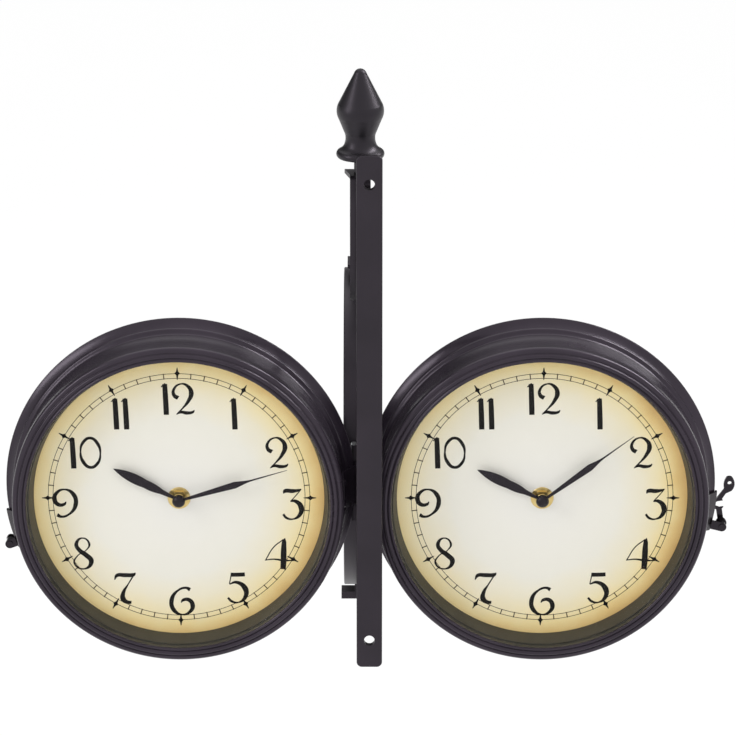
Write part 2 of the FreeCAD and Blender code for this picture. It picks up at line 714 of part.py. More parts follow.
def follow_shell(start, end, thick):
    """The section of a plate that follows the outside of the shell, just clear of it."""
    rim = S["rim_radius"] + S["plate_gap"]
    bead = BEAD_RADIUS + S["plate_gap"] * 6
    wall = WALL_RADIUS + S["plate_gap"]
    low = S["rim_edge"] + 0.8
    middle = S["bead_level"] + 0.6
    high = S["wall_start"] + 2.5
    return [(rim, start), (rim + thick, start), (rim + thick, low + thick * 0.5),
            (bead + thick * 1.1, middle + thick * 0.5), (wall + thick, high + thick * 0.5),
            (wall + thick, end), (wall, end), (wall, high), (bead, middle), (rim, low)]


def hinge_leaf(side):
    """The leaf riveted to the shell, with two knuckles that turn on this half's pin."""
    toward_pin = 0.0 if side < 0 else 180.0
    sweep = S["knuckle_length"] * 2.6 / S["rim_radius"] * (180.0 / math.pi)
    body = case_body("hinge_leaf", side, toward_pin)
    thick = S["knuckle_radius"] - S["pin_inset"] - S["plate_gap"]
    section = follow_shell(S["knuckle_gap"], S["wall_start"] + 16.0, thick)
    revolve(body, [(point[0], -point[1]) for point in section], sweep=sweep)
    solids = [body]
    pin_x = CLOCK_X + S["pin_aside"] * side
    edge = S["knuckle_radius"] - thick
    bores = []
    fixed, moving = knuckle_levels()
    for start, length in moving:
        solids.append(cylinder("moving_knuckle", S["knuckle_radius"], length,
                               (pin_x, PIN_Y, CLOCK_Z + start)))
        tab_x = pin_x - S["knuckle_radius"] * side if side > 0 else pin_x + edge
        solids.append(box("leaf_tab", (thick, S["pin_behind"] + 2.0, length),
                          (tab_x, SEAT_Y - 2.0, CLOCK_Z + start)))
        bores.append(cylinder("leaf_bore", S["pin_radius"] + S["pin_fit"], length + 2.0,
                              (pin_x, PIN_Y, CLOCK_Z + start - 1.0)))
    return cut("hinge_leaf_whole", fuse("hinge_leaf_solid", solids), bores)


def shell_rivets(side, angles, level, name):
    """Rivets through a plate and the wall of the shell, at angles round the dial's axis."""
    rivets = []
    inner = WALL_RADIUS - S["sheet"]
    outer = WALL_RADIUS + S["plate_gap"] + S["plate_thick"]
    shank = S["rivet_radius"]
    for angle in angles:
        holder = case_body(name, side, angle)
        sketch_points = [(inner - 0.8, -level - shank * 1.6), (inner, -level - shank * 1.6),
                         (inner, -level - shank), (outer, -level - shank),
                         (outer, -level - shank * 1.6), (outer + 1.0, -level - shank * 1.1),
                         (outer + 1.0, -level), (inner - 0.8, -level)]
        sketch = outline(new_sketch(holder, "XY_Plane"), sketch_points)
        line = sketch.addGeometry(Part.LineSegment(FreeCAD.Vector(inner.value - 2, -level.value, 0),
                                                   FreeCAD.Vector(outer.value + 3, -level.value, 0)),
                                  True)
        pin_point(sketch, line, 1, (inner - 2.0, -level))
        pin_point(sketch, line, 2, (outer + 3.0, -level))
        solid = holder.newObject("PartDesign::Revolution", holder.Name + "_turned")
        solid.Profile = sketch
        solid.ReferenceAxis = (sketch, ["Axis0"])
        sketch.Visibility = False
        rivets.append(holder)
    return group(name + "_set", rivets)


# ---- the movement and the hands --------------------------------------------------------------

def movement_case(side):
    """The plastic box of the quartz movement, with an open bay for the battery."""
    x, y, z = case_at(side)
    wide = S["movement_side"]
    deep = S["movement_depth"]
    wall = S["case_wall"]
    front = S["dial_level"] - S["dial_thick"] - S["seat_clear"]
    solid = box("movement_box", (wide, deep, wide), (x - wide / 2, y - front, z - wide / 2))
    bay_long = S["cell_length"] + S["contact_thick"] * 2 + 0.4
    bay_high = S["cell_radius"] * 2 + 1.0
    bay = box("battery_bay", (bay_long, deep, bay_high),
              (x - bay_long / 2, y - front + wall, z - S["bay_drop"] - bay_high / 2))
    shaft = along_y("knob_hole", S["knob_shaft"] + S["running_gap"], deep,
                    (x, y - front + wall * 2, z + S["knob_up"]))
    return cut("movement_case_whole", solid, [bay, shaft])


def cell_height():
    """How far the battery's axis lies above the floor of its bay."""
    return S["case_wall"] + S["cell_radius"] + 0.2


def battery(side):
    x, y, z = case_at(side)
    front = S["dial_level"] - S["dial_thick"] - S["seat_clear"]
    length = S["cell_length"] - 1.0
    at = (x - S["cell_length"] / 2, y - front + cell_height(), z - S["bay_drop"])
    cell = cylinder("cell", S["cell_radius"], length, at, (0, 1, 0), 90.0)
    cap = cylinder("cell_cap", S["cell_radius"] * 0.38, S["cell_length"], at, (0, 1, 0), 90.0)
    return fuse("battery_whole", [cell, cap])


def battery_contacts(side):
    x, y, z = case_at(side)
    front = S["dial_level"] - S["dial_thick"] - S["seat_clear"]
    thick = S["contact_thick"]
    tall = S["cell_radius"] * 1.4
    plates = []
    for end in (-1.0, 1.0):
        start = x + S["cell_length"] / 2 * end
        plates.append(box("contact", (thick, tall, tall),
                          (start if end > 0 else start - thick, y - front + S["case_wall"],
                           z - S["bay_drop"] - tall / 2)))
    return group("contact_set", plates)


def setting_knob(side):
    """The knob at the back of the movement, on its short shaft."""
    x, y, z = case_at(side)
    front = S["dial_level"] - S["dial_thick"] - S["seat_clear"]
    back = y - front + S["movement_depth"]
    disc = along_y("knob_disc", S["knob_radius"], S["knob_height"], (x, back + 0.3, z + S["knob_up"]))
    shaft = along_y("knob_shaft_solid", S["knob_shaft"], S["knob_height"] * 2,
                    (x, back - S["knob_height"], z + S["knob_up"]))
    slots = []
    for index in range(12):
        turn = math.radians(360.0 / 12 * index)
        slots.append(along_y("knurl", 0.5, S["knob_height"] + 2.0,
                             (x + S["knob_radius"] * math.cos(turn), back - 0.7,
                              z + S["knob_up"] + S["knob_radius"] * math.sin(turn))))
    return cut("setting_knob_whole", fuse("knob_solid", [disc, shaft]), slots)


def stem(side):
    """The threaded bush that holds the movement to the dial."""
    low = S["dial_level"] - S["dial_thick"] - S["seat_clear"]
    high = S["dial_level"] + S["stem_height"]
    out = S["stem_radius"]
    bore = S["stem_bore"]
    return turned("stem", side, [(bore, low), (out, low), (out, high - 0.4), (out - 0.4, high),
                                 (bore, high)])


def washer(side):
    low = S["dial_level"]
    high = low + S["washer_thick"]
    hole = S["stem_radius"] + S["fit_gap"]
    edge = S["washer_radius"]
    return turned("washer", side, [(hole, low), (edge, low), (edge, high - 0.2), (edge - 0.2, high),
                                   (hole, high)])


def hex_nut(side):
    body = case_body("hex_nut", side)
    low = S["dial_level"] + S["washer_thick"]
    sketch = new_sketch(body, "XZ_Plane")
    corner = S["nut_flats"] / (2 * math.cos(math.pi / 6))
    corners = [math.radians(60.0 * index) for index in range(6)]
    outline(sketch, [(corner * math.cos(turn), corner * math.sin(turn)) for turn in corners])
    add_circle(sketch, (0.0, 0.0), S["stem_radius"] + S["pin_fit"])
    bind(sketch, "AttachmentOffset.Base.z", low)
    pad(body, sketch, S["nut_thick"])
    return body


def hour_pipe(side):
    low = S["dial_level"] - S["dial_thick"]
    high = S["hour_level"] + S["hand_thick"] + 0.3
    out = S["stem_bore"] - S["running_gap"]
    bore = S["arbor_radius"] + S["running_gap"]
    return turned("hour_pipe", side, [(bore, low), (out, low), (out, high), (bore, high)])


def minute_arbor(side):
    low = S["dial_level"] - S["dial_thick"]
    high = S["minute_level"] + S["hand_thick"] + 1.8
    out = S["arbor_radius"]
    return turned("minute_arbor", side, [(0.0, low), (out, low), (out, high), (0.0, high)])


def hand(name, side, angle, level, hole, blade):
    """A flat hand: the right edge of a blade and its mirror image, turned clockwise to its hour."""
    body = case_body(name, side, angle)
    down = [(-blade[index][0], blade[index][1]) + (tuple(blade[index - 1][2:]) if index else ())
            for index in reversed(range(len(blade)))]
    sketch = outline(new_sketch(body, "XZ_Plane"), blade + down)
    bind(sketch, "AttachmentOffset.Base.z", level)
    pad(body, sketch, S["hand_thick"])
    centre = case_at(side)
    hub = along_y("hub", S["hub_radius"], S["hand_thick"],
                  (centre[0], centre[1] - level - S["hand_thick"], centre[2]))
    bore = along_y("hub_bore", hole, S["hand_thick"] + 2.0,
                   (centre[0], centre[1] - level - S["hand_thick"] - 1.0, centre[2]))
    return cut(name + "_whole", fuse(name + "_solid", [body, hub]), [bore])


def hour_hand(side, angle):
    """A leaf, widest at its middle, that ends in a point."""
    long = S["hour_length"]
    half = S["hour_half_width"]
    blade = [(0.9, 2.0), (half * 0.62, long * 0.27, long * 0.75), (half, long * 0.52, long * 0.9),
             (0.12, long)]
    return hand("hour_hand", side, angle, S["hour_level"], S["stem_bore"] - S["running_gap"], blade)


def minute_hand(side, angle):
    """A long lance that widens to its middle and runs out in a needle."""
    long = S["minute_length"]
    half = S["minute_half_width"]
    blade = [(0.9, 2.0), (half, long * 0.52), (half * 0.5, long * 0.60, -long * 0.5),
             (0.55, long * 0.70), (0.12, long)]
    return hand("minute_hand", side, angle, S["minute_level"], S["arbor_radius"], blade)


def cap_nut(side):
    """The domed nut on the end of the arbor."""
    low = S["minute_level"] + S["hand_thick"]
    edge = S["cap_radius"]
    high = low + S["cap_height"]
    hole = S["arbor_radius"]
    rise = S["cap_height"] - 1.0
    return turned("cap_nut", side, [(hole, low), (edge - 0.8, low), (edge, low + 1.0, dome(edge, rise)),
                                    (0.0, high), (0.0, low + 1.8), (hole, low + 1.8)])


# ---- the latch -------------------------------------------------------------------------------

def latch_angle(side, out, drop):
    """Where a post of the latch sits round the dial's axis."""
    tilt = math.degrees(math.atan2(drop.value, out.value))
    return tilt if side > 0 else 180.0 - tilt


def plate_angle(side, out, drop):
    """The middle of the plate, which reaches up from its ear."""
    return latch_angle(side, out, drop) - S["plate_turn"].value * side


def latch_plate(name, side, out, drop, fittings):
    """A plate riveted over the rim of one half, with an ear at its lower end that carries a post."""
    body = case_body(name, side, plate_angle(side, out, drop))
    sweep = S["plate_height"] / S["rim_radius"] * (180.0 / math.pi)
    level = S["knuckle_gap"]
    section = follow_shell(level, S["wall_start"] + 10.0, S["plate_thick"])
    revolve(body, [(point[0], -point[1]) for point in section], sweep=sweep)
    holder = case_body(name + "_ear", side, latch_angle(side, out, drop))
    ear = new_sketch(holder, "XZ_Plane")
    wide = S["ear_radius"]
    root = S["rim_radius"] + S["plate_gap"] + S["plate_thick"] / 2
    reach = sqrt(out * out + drop * drop)
    outline(ear, [(root, -wide), (reach, -wide, wide), (reach + wide, 0.0, wide), (reach, wide),
                  (root, wide)])
    bind(ear, "AttachmentOffset.Base.z", level)
    pad(holder, ear, S["ear_thick"])
    return cut(name + "_drilled", fuse(name + "_solid", [body, holder]), fittings)


def latch_post(name, side, out, drop, play):
    """A shouldered post, square to the seam: its neck holds the hook between boss and head."""
    x, y, z = case_at(side)
    at = (x + out * side, z - drop)
    front = y - S["knuckle_gap"] - S["ear_thick"]
    near = y + S["seat_gap"] - S["hook_thick"] / 2 - play
    far = y + S["seat_gap"] + S["hook_thick"] / 2 + play
    boss_start = y - S["knuckle_gap"]

    def disc(label, radius, start, length):
        return along_y(label, radius, length, (at[0], start, at[1]))

    neck = disc(name + "_neck", S["neck_radius"], front - 0.5, far - front + 1.0)
    cap = disc(name + "_cap", S["ear_radius"] * 0.75, front - 0.9, 0.9)
    boss = disc(name + "_boss", S["ear_radius"] * 0.9, boss_start, near - boss_start)
    head = disc(name + "_head", S["ear_radius"], far, S["head_height"] * 0.8)
    return fuse(name + "_whole", [neck, cap, boss, head])


def hook_reach():
    """From the post of the hook to the stud when the halves are closed."""
    across = LATCH_OUT - STUD_OUT
    drop = S["stud_drop"] - S["latch_drop"]
    return sqrt(across * across + drop * drop)


def latch_hook(side):
    """The hook parked upright: hub, arm, a jaw open on its outer side and a slanting handle."""
    x, y, z = case_at(side)
    thick = S["hook_thick"]
    near = y + S["seat_gap"] + thick / 2
    reach = hook_reach()
    at = (x + LATCH_OUT * side, near, z - S["latch_drop"])

    def plate(name, points, circles=()):
        body = new_body(name, at, (0, 1, 0), -S["hook_tilt"].value)
        sketch = new_sketch(body, "XZ_Plane")
        if points:
            outline(sketch, points)
        for centre, radius in circles:
            add_circle(sketch, centre, radius)
        pad(body, sketch, thick)
        return body

    arm = S["hook_arm"] / 2
    jaw = S["jaw_radius"]
    hole = S["jaw_hole"]
    hub = plate("hook_hub", None, [((0.0, 0.0), S["hook_hub"])])
    bar = plate("hook_bar", [(-arm, 0.0), (arm, 0.0), (arm, reach), (-arm, reach)])
    ring = plate("hook_jaw", None, [((0.0, reach), jaw)])
    root = reach + hole
    handle = plate("hook_handle", [
        (-jaw * 0.5, root), (jaw * 0.6, root + 0.6), (jaw * 1.5, root + 5.2),
        (jaw * 2.5, root + 6.6, 8.0), (jaw * 3.1, root + 15.5, 3.4), (jaw * 2.0, root + 18.0, 11.0),
        (jaw * 1.3, root + 9.0), (0.0, root + 3.2)])
    mouth = plate("hook_mouth", [(0.0, reach - hole - 0.5), (jaw * 2, reach - hole - 0.5),
                                 (jaw * 2, root), (0.0, root)])
    bores = [plate("hook_pivot_bore", None, [((0.0, 0.0), S["neck_radius"] + S["neck_fit"])]),
             plate("hook_eye", None, [((0.0, reach), hole)]),
             plate("handle_eye", None, [((jaw * 2.35, root + 13.0), S["handle_hole"])])]
    return cut("latch_hook_whole", fuse("hook_solid", [hub, bar, ring, handle]), bores + [mouth])


# ---- put together ------------------------------------------------------------------------------

def build_bracket():
    keep("bar_rivets", bar_rivets())
    keep("hinge_rivets", hinge_rivets())
    keep("wall_bar", wall_bar())
    keep("scroll_strap", strap_with_pad())
    keep("lower_stay", lower_stay_whole())
    keep("finial", finial())
    keep("finial_screw", finial_screw())
    keep("centre_ring", centre_ring())
    keep("ring_lugs", group("ring_lug_pair", [lug("upper_lug", 1.0), lug("lower_lug", -1.0)]))
    keep("lug_screws", lug_screws())
    keep("hinge_saddle", hinge_saddle())
    keep("hinge_pins", group("hinge_pin_pair", [hinge_pin(-1.0), hinge_pin(1.0)]))


def build_half(name):
    side = sign_of[name]
    hour_angle, minute_angle = HAND_ANGLES[name]
    base = 0.0 if side < 0 else 180.0
    out, drop, play = LATCH_PLACES[name]
    plate_name = LATCH_NAMES[name]
    middle = plate_angle(side, out, drop)
    leaf_rivets = shell_rivets(side, [base - 4.0, base + 4.0], S["wall_start"] + 9.0, "leaf_rivet")
    plate_rivets = shell_rivets(side, [middle - 4.2, middle + 4.2], S["wall_start"] + 6.2,
                                plate_name + "_rivet")
    post = latch_post(plate_name + "_post", side, out, drop, play)
    screws = dial_screws(side)
    pieces = {
        "case_shell": cut("shell_drilled", case_shell(side), [leaf_rivets, plate_rivets]),
        "bezel": bezel(side), "glass": glass(side),
        "dial": cut("dial_drilled", dial(side), [screws]),
        "dial_posts": cut("posts_drilled", dial_posts(side), [screws]), "dial_screws": screws,
        "hinge_leaf": cut("leaf_drilled", hinge_leaf(side), [leaf_rivets]),
        "leaf_rivets": leaf_rivets, "movement_case": movement_case(side),
        "battery": battery(side), "battery_contacts": battery_contacts(side),
        "stem": stem(side), "washer": washer(side), "hex_nut": hex_nut(side),
        "setting_knob": setting_knob(side), "hour_pipe": hour_pipe(side),
        "hour_hand": hour_hand(side, hour_angle), "minute_arbor": minute_arbor(side),
        "minute_hand": minute_hand(side, minute_angle), "cap_nut": cap_nut(side),
    }
    for piece, thing in pieces.items():
        keep(name + "_" + piece, thing)
    keep(plate_name + "_rivets", plate_rivets)
    keep(plate_name + "_post", post)
    keep(plate_name + "_plate",
         latch_plate(plate_name, side, out, drop, [plate_rivets, post]))


def check_document():
    """Stop if any object failed, or if a piece is empty, broken or not closed."""
    faults = [thing.Name + " " + str(thing.State) for thing in doc.Objects
              if "Invalid" in thing.State or "Error" in thing.State]
    for name, thing in nodes.items():
        shape = thing.Shape
        if shape.isNull() or not shape.isValid() or not shape.Solids or shape.Volume <= 0:
            faults.append(name + " has no sound solid")
    if faults:
        raise RuntimeError("; ".join(faults))


build_bracket()
for half_name in ("left", "right"):
    build_half(half_name)
keep("latch_hook", latch_hook(1.0))
doc.recompute()
check_document()
os.makedirs("parts", exist_ok=True)
for node_name, node in nodes.items():
    node.Shape.exportStep(os.path.join("parts", node_name + ".step"))
    print(node_name, len(node.Shape.Solids), round(node.Shape.Volume, 1))
print(len(nodes), "pieces")
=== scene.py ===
import math

import bpy
from mathutils import Matrix, Vector


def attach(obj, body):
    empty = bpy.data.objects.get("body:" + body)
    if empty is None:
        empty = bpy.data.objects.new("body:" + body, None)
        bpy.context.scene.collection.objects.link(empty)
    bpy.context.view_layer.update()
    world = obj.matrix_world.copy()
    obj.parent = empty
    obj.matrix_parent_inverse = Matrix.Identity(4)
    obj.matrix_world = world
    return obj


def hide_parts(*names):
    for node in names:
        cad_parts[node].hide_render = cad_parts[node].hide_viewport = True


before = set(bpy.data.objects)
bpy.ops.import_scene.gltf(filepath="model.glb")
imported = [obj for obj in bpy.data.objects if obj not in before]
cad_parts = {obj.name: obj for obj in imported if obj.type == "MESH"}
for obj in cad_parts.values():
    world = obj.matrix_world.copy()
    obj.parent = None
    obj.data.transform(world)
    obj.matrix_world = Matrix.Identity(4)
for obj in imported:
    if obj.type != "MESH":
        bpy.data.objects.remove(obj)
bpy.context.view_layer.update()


# The camera: a long lens 2.8 m in front of the wall side of the clock, looking 18 degrees down on
# it, so that the open halves show both dials and the tops of their drums.
LOOK_DOWN = 18.3
FOCAL_PIXELS, PICTURE_PIXELS, SENSOR_MM = 4000.0, 736.0, 36.0
bpy.ops.object.camera_add(location=(-0.00099, -2.7639, 0.9519),
                          rotation=(math.radians(90.0 - LOOK_DOWN), 0.0, 0.0))
camera = bpy.context.object
camera.name = "studio_camera"
camera.data.lens = FOCAL_PIXELS * SENSOR_MM / PICTURE_PIXELS
camera.data.sensor_width = SENSOR_MM
camera.data.clip_end = 100.0
camera.data.dof.use_dof = False
bpy.context.scene.camera = camera
bpy.context.scene.view_settings.view_transform = "Standard"


# The floor: a wide sheet of pale paper well below the clock, so that the clock casts no shadow on
# anything near it. It belongs to the studio, not to the clock.
def colour(code):
    """A colour written as sRGB hex, as linear red, green, blue and full alpha."""
    parts = [int(code[index:index + 2], 16) / 255.0 for index in (0, 2, 4)]
    return [part / 12.92 if part <= 0.04045 else ((part + 0.055) / 1.055) ** 2.4
            for part in parts] + [1.0]


def add_node(tree, kind, settings=None, values=None, links=None):
    """Add a node; set its properties and inputs, and link inputs from (node, output)."""
    node = tree.nodes.new(kind)
    for name, value in (settings or {}).items():
        setattr(node, name, value)
    for name, value in (values or {}).items():
        node.inputs[name].default_value = value
    for name, (source, output) in (links or {}).items():
        tree.links.new(source.outputs[output], node.inputs[name])
    return node


def start_material(name):
    """An empty node material with its output, ready for a shader."""
    material = bpy.data.materials.new(name)
    material.use_nodes = True
    material.node_tree.nodes.clear()
    output = material.node_tree.nodes.new("ShaderNodeOutputMaterial")
    return material, material.node_tree, output


def matt_paper():
    """Seamless background paper: dull and white, faintly uneven over half a metre."""
    material, tree, output = start_material("background_paper")
    place = add_node(tree, "ShaderNodeTexCoord")
    cloud = add_node(tree, "ShaderNodeTexNoise", values={"Scale": 2.0, "Detail": 2.0},
                     links={"Vector": (place, "Object")})
    ramp = add_node(tree, "ShaderNodeValToRGB", links={"Fac": (cloud, "Fac")})
    ramp.color_ramp.elements[0].color = colour("F6F6F6")
    ramp.color_ramp.elements[1].color = colour("FAFAFA")
    shader = add_node(tree, "ShaderNodeBsdfPrincipled",
                      values={"Roughness": 0.9, "Specular IOR Level": 0.2},
                      links={"Base Color": (ramp, "Color")})
    # seen directly, in a shiny surface or through glass, the paper is four fifths pure white, so
    # that it matches the white surround and still keeps a fifth of its shading
    white = add_node(tree, "ShaderNodeEmission",
                     values={"Color": colour("FFFFFF"), "Strength": 1.0})
    path = add_node(tree, "ShaderNodeLightPath")
    seen = add_node(tree, "ShaderNodeMath", {"operation": "MAXIMUM"},
                    links={0: (path, "Is Camera Ray"), 1: (path, "Is Glossy Ray")})
    through = add_node(tree, "ShaderNodeMath", {"operation": "MAXIMUM"},
                       links={0: (seen, "Value"), 1: (path, "Is Transmission Ray")})
    part = add_node(tree, "ShaderNodeMath", {"operation": "MULTIPLY"}, values={1: 0.8},
                    links={0: (through, "Value")})
    mix = add_node(tree, "ShaderNodeMixShader", links={0: (part, "Value"), 1: (shader, "BSDF"),
                                                       2: (white, "Emission")})
    tree.links.new(mix.outputs["Shader"], output.inputs["Surface"])
    return material


FLOOR_Z = -0.9
bpy.ops.object.select_all(action="DESELECT")
bpy.ops.mesh.primitive_plane_add(size=60.0, location=(0.0, 10.0, FLOOR_Z))
floor = bpy.context.object
floor.name = "studio_floor"
floor.data.materials.append(matt_paper())


# The surround: white, bright in front of the clock and overhead, and dim behind it, which leaves
# the tops of the drums dark, as in a studio with its lamps on the viewer's side.
world = bpy.data.worlds.new("studio_surround")
bpy.context.scene.world = world
world.use_nodes = True
world.node_tree.nodes.clear()
surround = world.node_tree
direction = add_node(surround, "ShaderNodeTexCoord")
parts = add_node(surround, "ShaderNodeSeparateXYZ", links={"Vector": (direction, "Generated")})
FRONT_LEVEL, BACK_LEVEL, OVERHEAD_LEVEL = 0.98, 0.1, 1.1
depth = add_node(surround, "ShaderNodeMapRange",
                 values={"From Min": -0.5, "From Max": 0.6,
                         "To Min": FRONT_LEVEL, "To Max": BACK_LEVEL},
                 links={"Value": (parts, "Y")})
overhead = add_node(surround, "ShaderNodeMapRange",
                    values={"From Min": 0.6, "From Max": 0.95,
                            "To Min": 0.0, "To Max": OVERHEAD_LEVEL},
                    links={"Value": (parts, "Z")})
level = add_node(surround, "ShaderNodeMath", {"operation": "MAXIMUM"},
                 links={0: (depth, "Result"), 1: (overhead, "Result")})
soft = add_node(surround, "ShaderNodeBackground", values={"Color": colour("FFFFFF")},
                links={"Strength": (level, "Value")})
world_output = surround.nodes.new("ShaderNodeOutputWorld")
surround.links.new(soft.outputs["Background"], world_output.inputs["Surface"])


# The lamps: a key softbox at the right and above, a weaker one at the left and in front, and a wide
# one over the floor behind the clock, which keeps the paper white there.
def softbox(name, place, aim, width, height, power):
    """A rectangular lamp at a place, turned toward a point; sizes in metres, power in watts."""
    bpy.ops.object.light_add(type="AREA", location=place)
    lamp = bpy.context.object
    lamp.name = name
    lamp.data.shape = "RECTANGLE"
    lamp.data.size = width
    lamp.data.size_y = height
    lamp.data.energy = power
    lamp.rotation_euler = (Vector(aim) - Vector(place)).to_track_quat("-Z", "Y").to_euler()


CLOCK_MIDDLE = (0.0, 0.05, -0.05)
softbox("key_softbox", (1.7, 0.5, 1.65), CLOCK_MIDDLE, 0.6, 1.4, 48.0)
softbox("fill_softbox", (-2.0, -0.9, 1.1), CLOCK_MIDDLE, 0.6, 1.3, 15.0)
softbox("floor_softbox", (0.0, 5.0, 4.0), (0.0, 5.0, FLOOR_Z), 7.0, 7.0, 120.0)


# The shell of each half: thin steel spun over a form, flared to a rolled edge at the back, with a
# small bead where the flare ends and a lip turned in at the front, then sprayed with black enamel.
def black_enamel(name="black_enamel", roughness=0.25, grain=0.9, dark="1D181F", light="2A242C"):
    """Baked enamel on steel: near black with a violet cast and the satin glow of orange peel."""
    material, tree, output = start_material(name)
    place = add_node(tree, "ShaderNodeTexCoord")
    # orange peel about a millimetre across, a little coarser than it is so that it shows, and soft
    # clouds of tone and gloss about 45 mm across
    peel = add_node(tree, "ShaderNodeTexNoise", values={"Scale": 900.0 / grain, "Detail": 3.0},
                    links={"Vector": (place, "Object")})
    cloud = add_node(tree, "ShaderNodeTexNoise", values={"Scale": 22.0, "Detail": 4.0},
                     links={"Vector": (place, "Object")})
    tint = add_node(tree, "ShaderNodeValToRGB", links={"Fac": (cloud, "Fac")})
    tint.color_ramp.elements[0].position = 0.3
    tint.color_ramp.elements[0].color = colour(dark)
    tint.color_ramp.elements[1].position = 0.7
    tint.color_ramp.elements[1].color = colour(light)
    gloss = add_node(tree, "ShaderNodeMapRange",
                     values={"To Min": roughness - 0.04, "To Max": roughness + 0.05},
                     links={"Value": (cloud, "Fac")})
    bump = add_node(tree, "ShaderNodeBump", values={"Strength": 0.12, "Distance": 0.0001},
                    links={"Height": (peel, "Fac")})
    shader = add_node(tree, "ShaderNodeBsdfPrincipled",
                      values={"IOR": 1.5, "Specular Tint": colour("EADDEE")},
                      links={"Base Color": (tint, "Color"), "Roughness": (gloss, "Result"),
                             "Normal": (bump, "Normal")})
    tree.links.new(shader.outputs["BSDF"], output.inputs["Surface"])
    return material


MM = 0.001
SAME_PLACE = 0.000004
SHARP_EDGE = 42.0


def lathe(name, profile, centre, steps=192, closed=True):
    """Turn a profile of (radius, height) in mm about the dial's axis, height toward the viewer."""
    middle = Vector(centre) * MM
    up = Vector((0, -1, 0))
    side = Vector((1, 0, 0))
    points = [middle + side * radius * MM + up * height * MM for radius, height in profile]
    bpy.ops.object.select_all(action="DESELECT")
    bpy.ops.mesh.primitive_plane_add(size=0.001, location=points[0])
    piece = bpy.context.object
    piece.name = name
    bpy.ops.object.transform_apply(location=True)
    bpy.ops.object.mode_set(mode="EDIT")
    bpy.ops.mesh.select_all(action="SELECT")
    bpy.ops.mesh.merge(type="CENTER")
    for before, after in zip(points, points[1:]):
        bpy.ops.mesh.extrude_region_move(TRANSFORM_OT_translate={"value": after - before})
    bpy.ops.mesh.select_all(action="SELECT")
    if closed:
        bpy.ops.mesh.select_all(action="DESELECT")
        bpy.ops.object.mode_set(mode="OBJECT")
        last = len(piece.data.vertices) - 1
        for index in (0, last):
            piece.data.vertices[index].select = True
        bpy.ops.object.mode_set(mode="EDIT")
        bpy.ops.mesh.edge_face_add()
        bpy.ops.mesh.select_all(action="SELECT")
    bpy.ops.mesh.spin(steps=steps, angle=math.tau, center=middle, axis=up)
    bpy.ops.mesh.select_all(action="SELECT")
    bpy.ops.mesh.remove_doubles(threshold=SAME_PLACE)
    bpy.ops.mesh.normals_make_consistent(inside=False)
    bpy.ops.object.mode_set(mode="OBJECT")
    bpy.ops.object.shade_smooth_by_angle(angle=math.radians(SHARP_EDGE))
    return piece


def bead(start, end, rise, count=8):
    """Points of a bead from start up to but not including end, swelling by rise in its middle."""
    (x1, y1), (x2, y2) = start, end
    length = math.hypot(x2 - x1, y2 - y1)
    points = []
    for index in range(count):
        part = index / count
        swell = 4.0 * part * (1.0 - part) * rise
        points.append((x1 + (x2 - x1) * part + (y2 - y1) / length * swell,
                       y1 + (y2 - y1) * part - (x2 - x1) / length * swell))
    return points


def half_centre(side):
    """The middle of a half's seat, where its dial's axis meets the plane on which it closes."""
    return (-6.5 + 135.0 * side, 62.0, -74.0)


enamel = black_enamel()
SIDES = {"left": -1.0, "right": 1.0}
for half, side in SIDES.items():
    rim = bead((129.6, 0.3), (131.0, 1.4), 0.5, 4) + bead((131.0, 1.4), (130.2, 2.4), 0.25, 4)
    flare = [(130.2, 2.4), (125.6, 7.0)] + bead((125.3, 7.4), (123.0, 11.0), 1.0)
    wall = [(122.6, 11.4), (121.8, 12.2), (121.5, 13.2), (121.5, 30.0), (121.5, 47.0)]
    lip = [(114.2, 47.0), (114.2, 45.8)]
    inside = [(120.3, 45.8), (120.3, 12.0), (121.6, 10.9), (123.1, 7.5), (129.4, 1.1)]
    shell = lathe(half + "_spun_shell", rim + flare + wall + lip + inside, half_centre(side))
    shell.data.materials.append(enamel)
    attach(shell, half + "_case")
    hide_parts(half + "_case_shell")


# The bezel of each half: a deep front ring pressed from sheet with three rolled beads. It grips the
# wall of the shell, and the tube inside it leads down to the dial. It has the enamel of the shell,
# and the tube is duller, in an olive grey that is a painted reflection of the cream dial.
TUBE_RADIUS, BEAD_HEIGHT = 112.2, 50.0
tube_painted_reflection = black_enamel("tube_painted_dial_reflection", roughness=0.5, dark="3A3A32", light="45443B")
for half, side in SIDES.items():
    skirt = [(123.0, 41.4), (123.0, 46.2)]
    outer_bead = bead((123.0, 46.6), (119.6, 50.4), 1.2, 14)
    outer_groove = [(119.4, 50.4), (119.1, 50.1), (118.8, 50.2)]
    middle_bead = bead((118.6, 50.4), (115.8, 51.4), 0.8, 12)
    inner_groove = [(115.5, 51.3), (115.2, 50.9), (115.0, 51.0)]
    inner_bead = bead((114.8, 51.2), (112.4, 51.1), 0.9, 10) + [(112.3, 50.7)]
    tube = [(112.1, 48.1), (112.0, 46.0), (110.9, 46.0), (108.0, 31.9), (109.2, 31.9)]
    back = [(112.4, 45.4), (113.2, 47.3), (121.7, 47.3), (121.7, 41.4)]
    outline = (skirt + outer_bead + outer_groove + middle_bead + inner_groove + inner_bead + tube
               + back)
    ring = lathe(half + "_rolled_bezel", outline, half_centre(side), steps=224)
    ring.data.materials.append(enamel)
    ring.data.materials.append(tube_painted_reflection)
    # the faces of the tube get the olive grey painted reflection of the dial
    for face in ring.data.polygons:
        place = (face.center - Vector(half_centre(side)) * MM) / MM
        if math.hypot(place.x, place.z) < TUBE_RADIUS and -place.y < BEAD_HEIGHT:
            face.material_index = 1
    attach(ring, half + "_case")
    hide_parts(half + "_bezel")
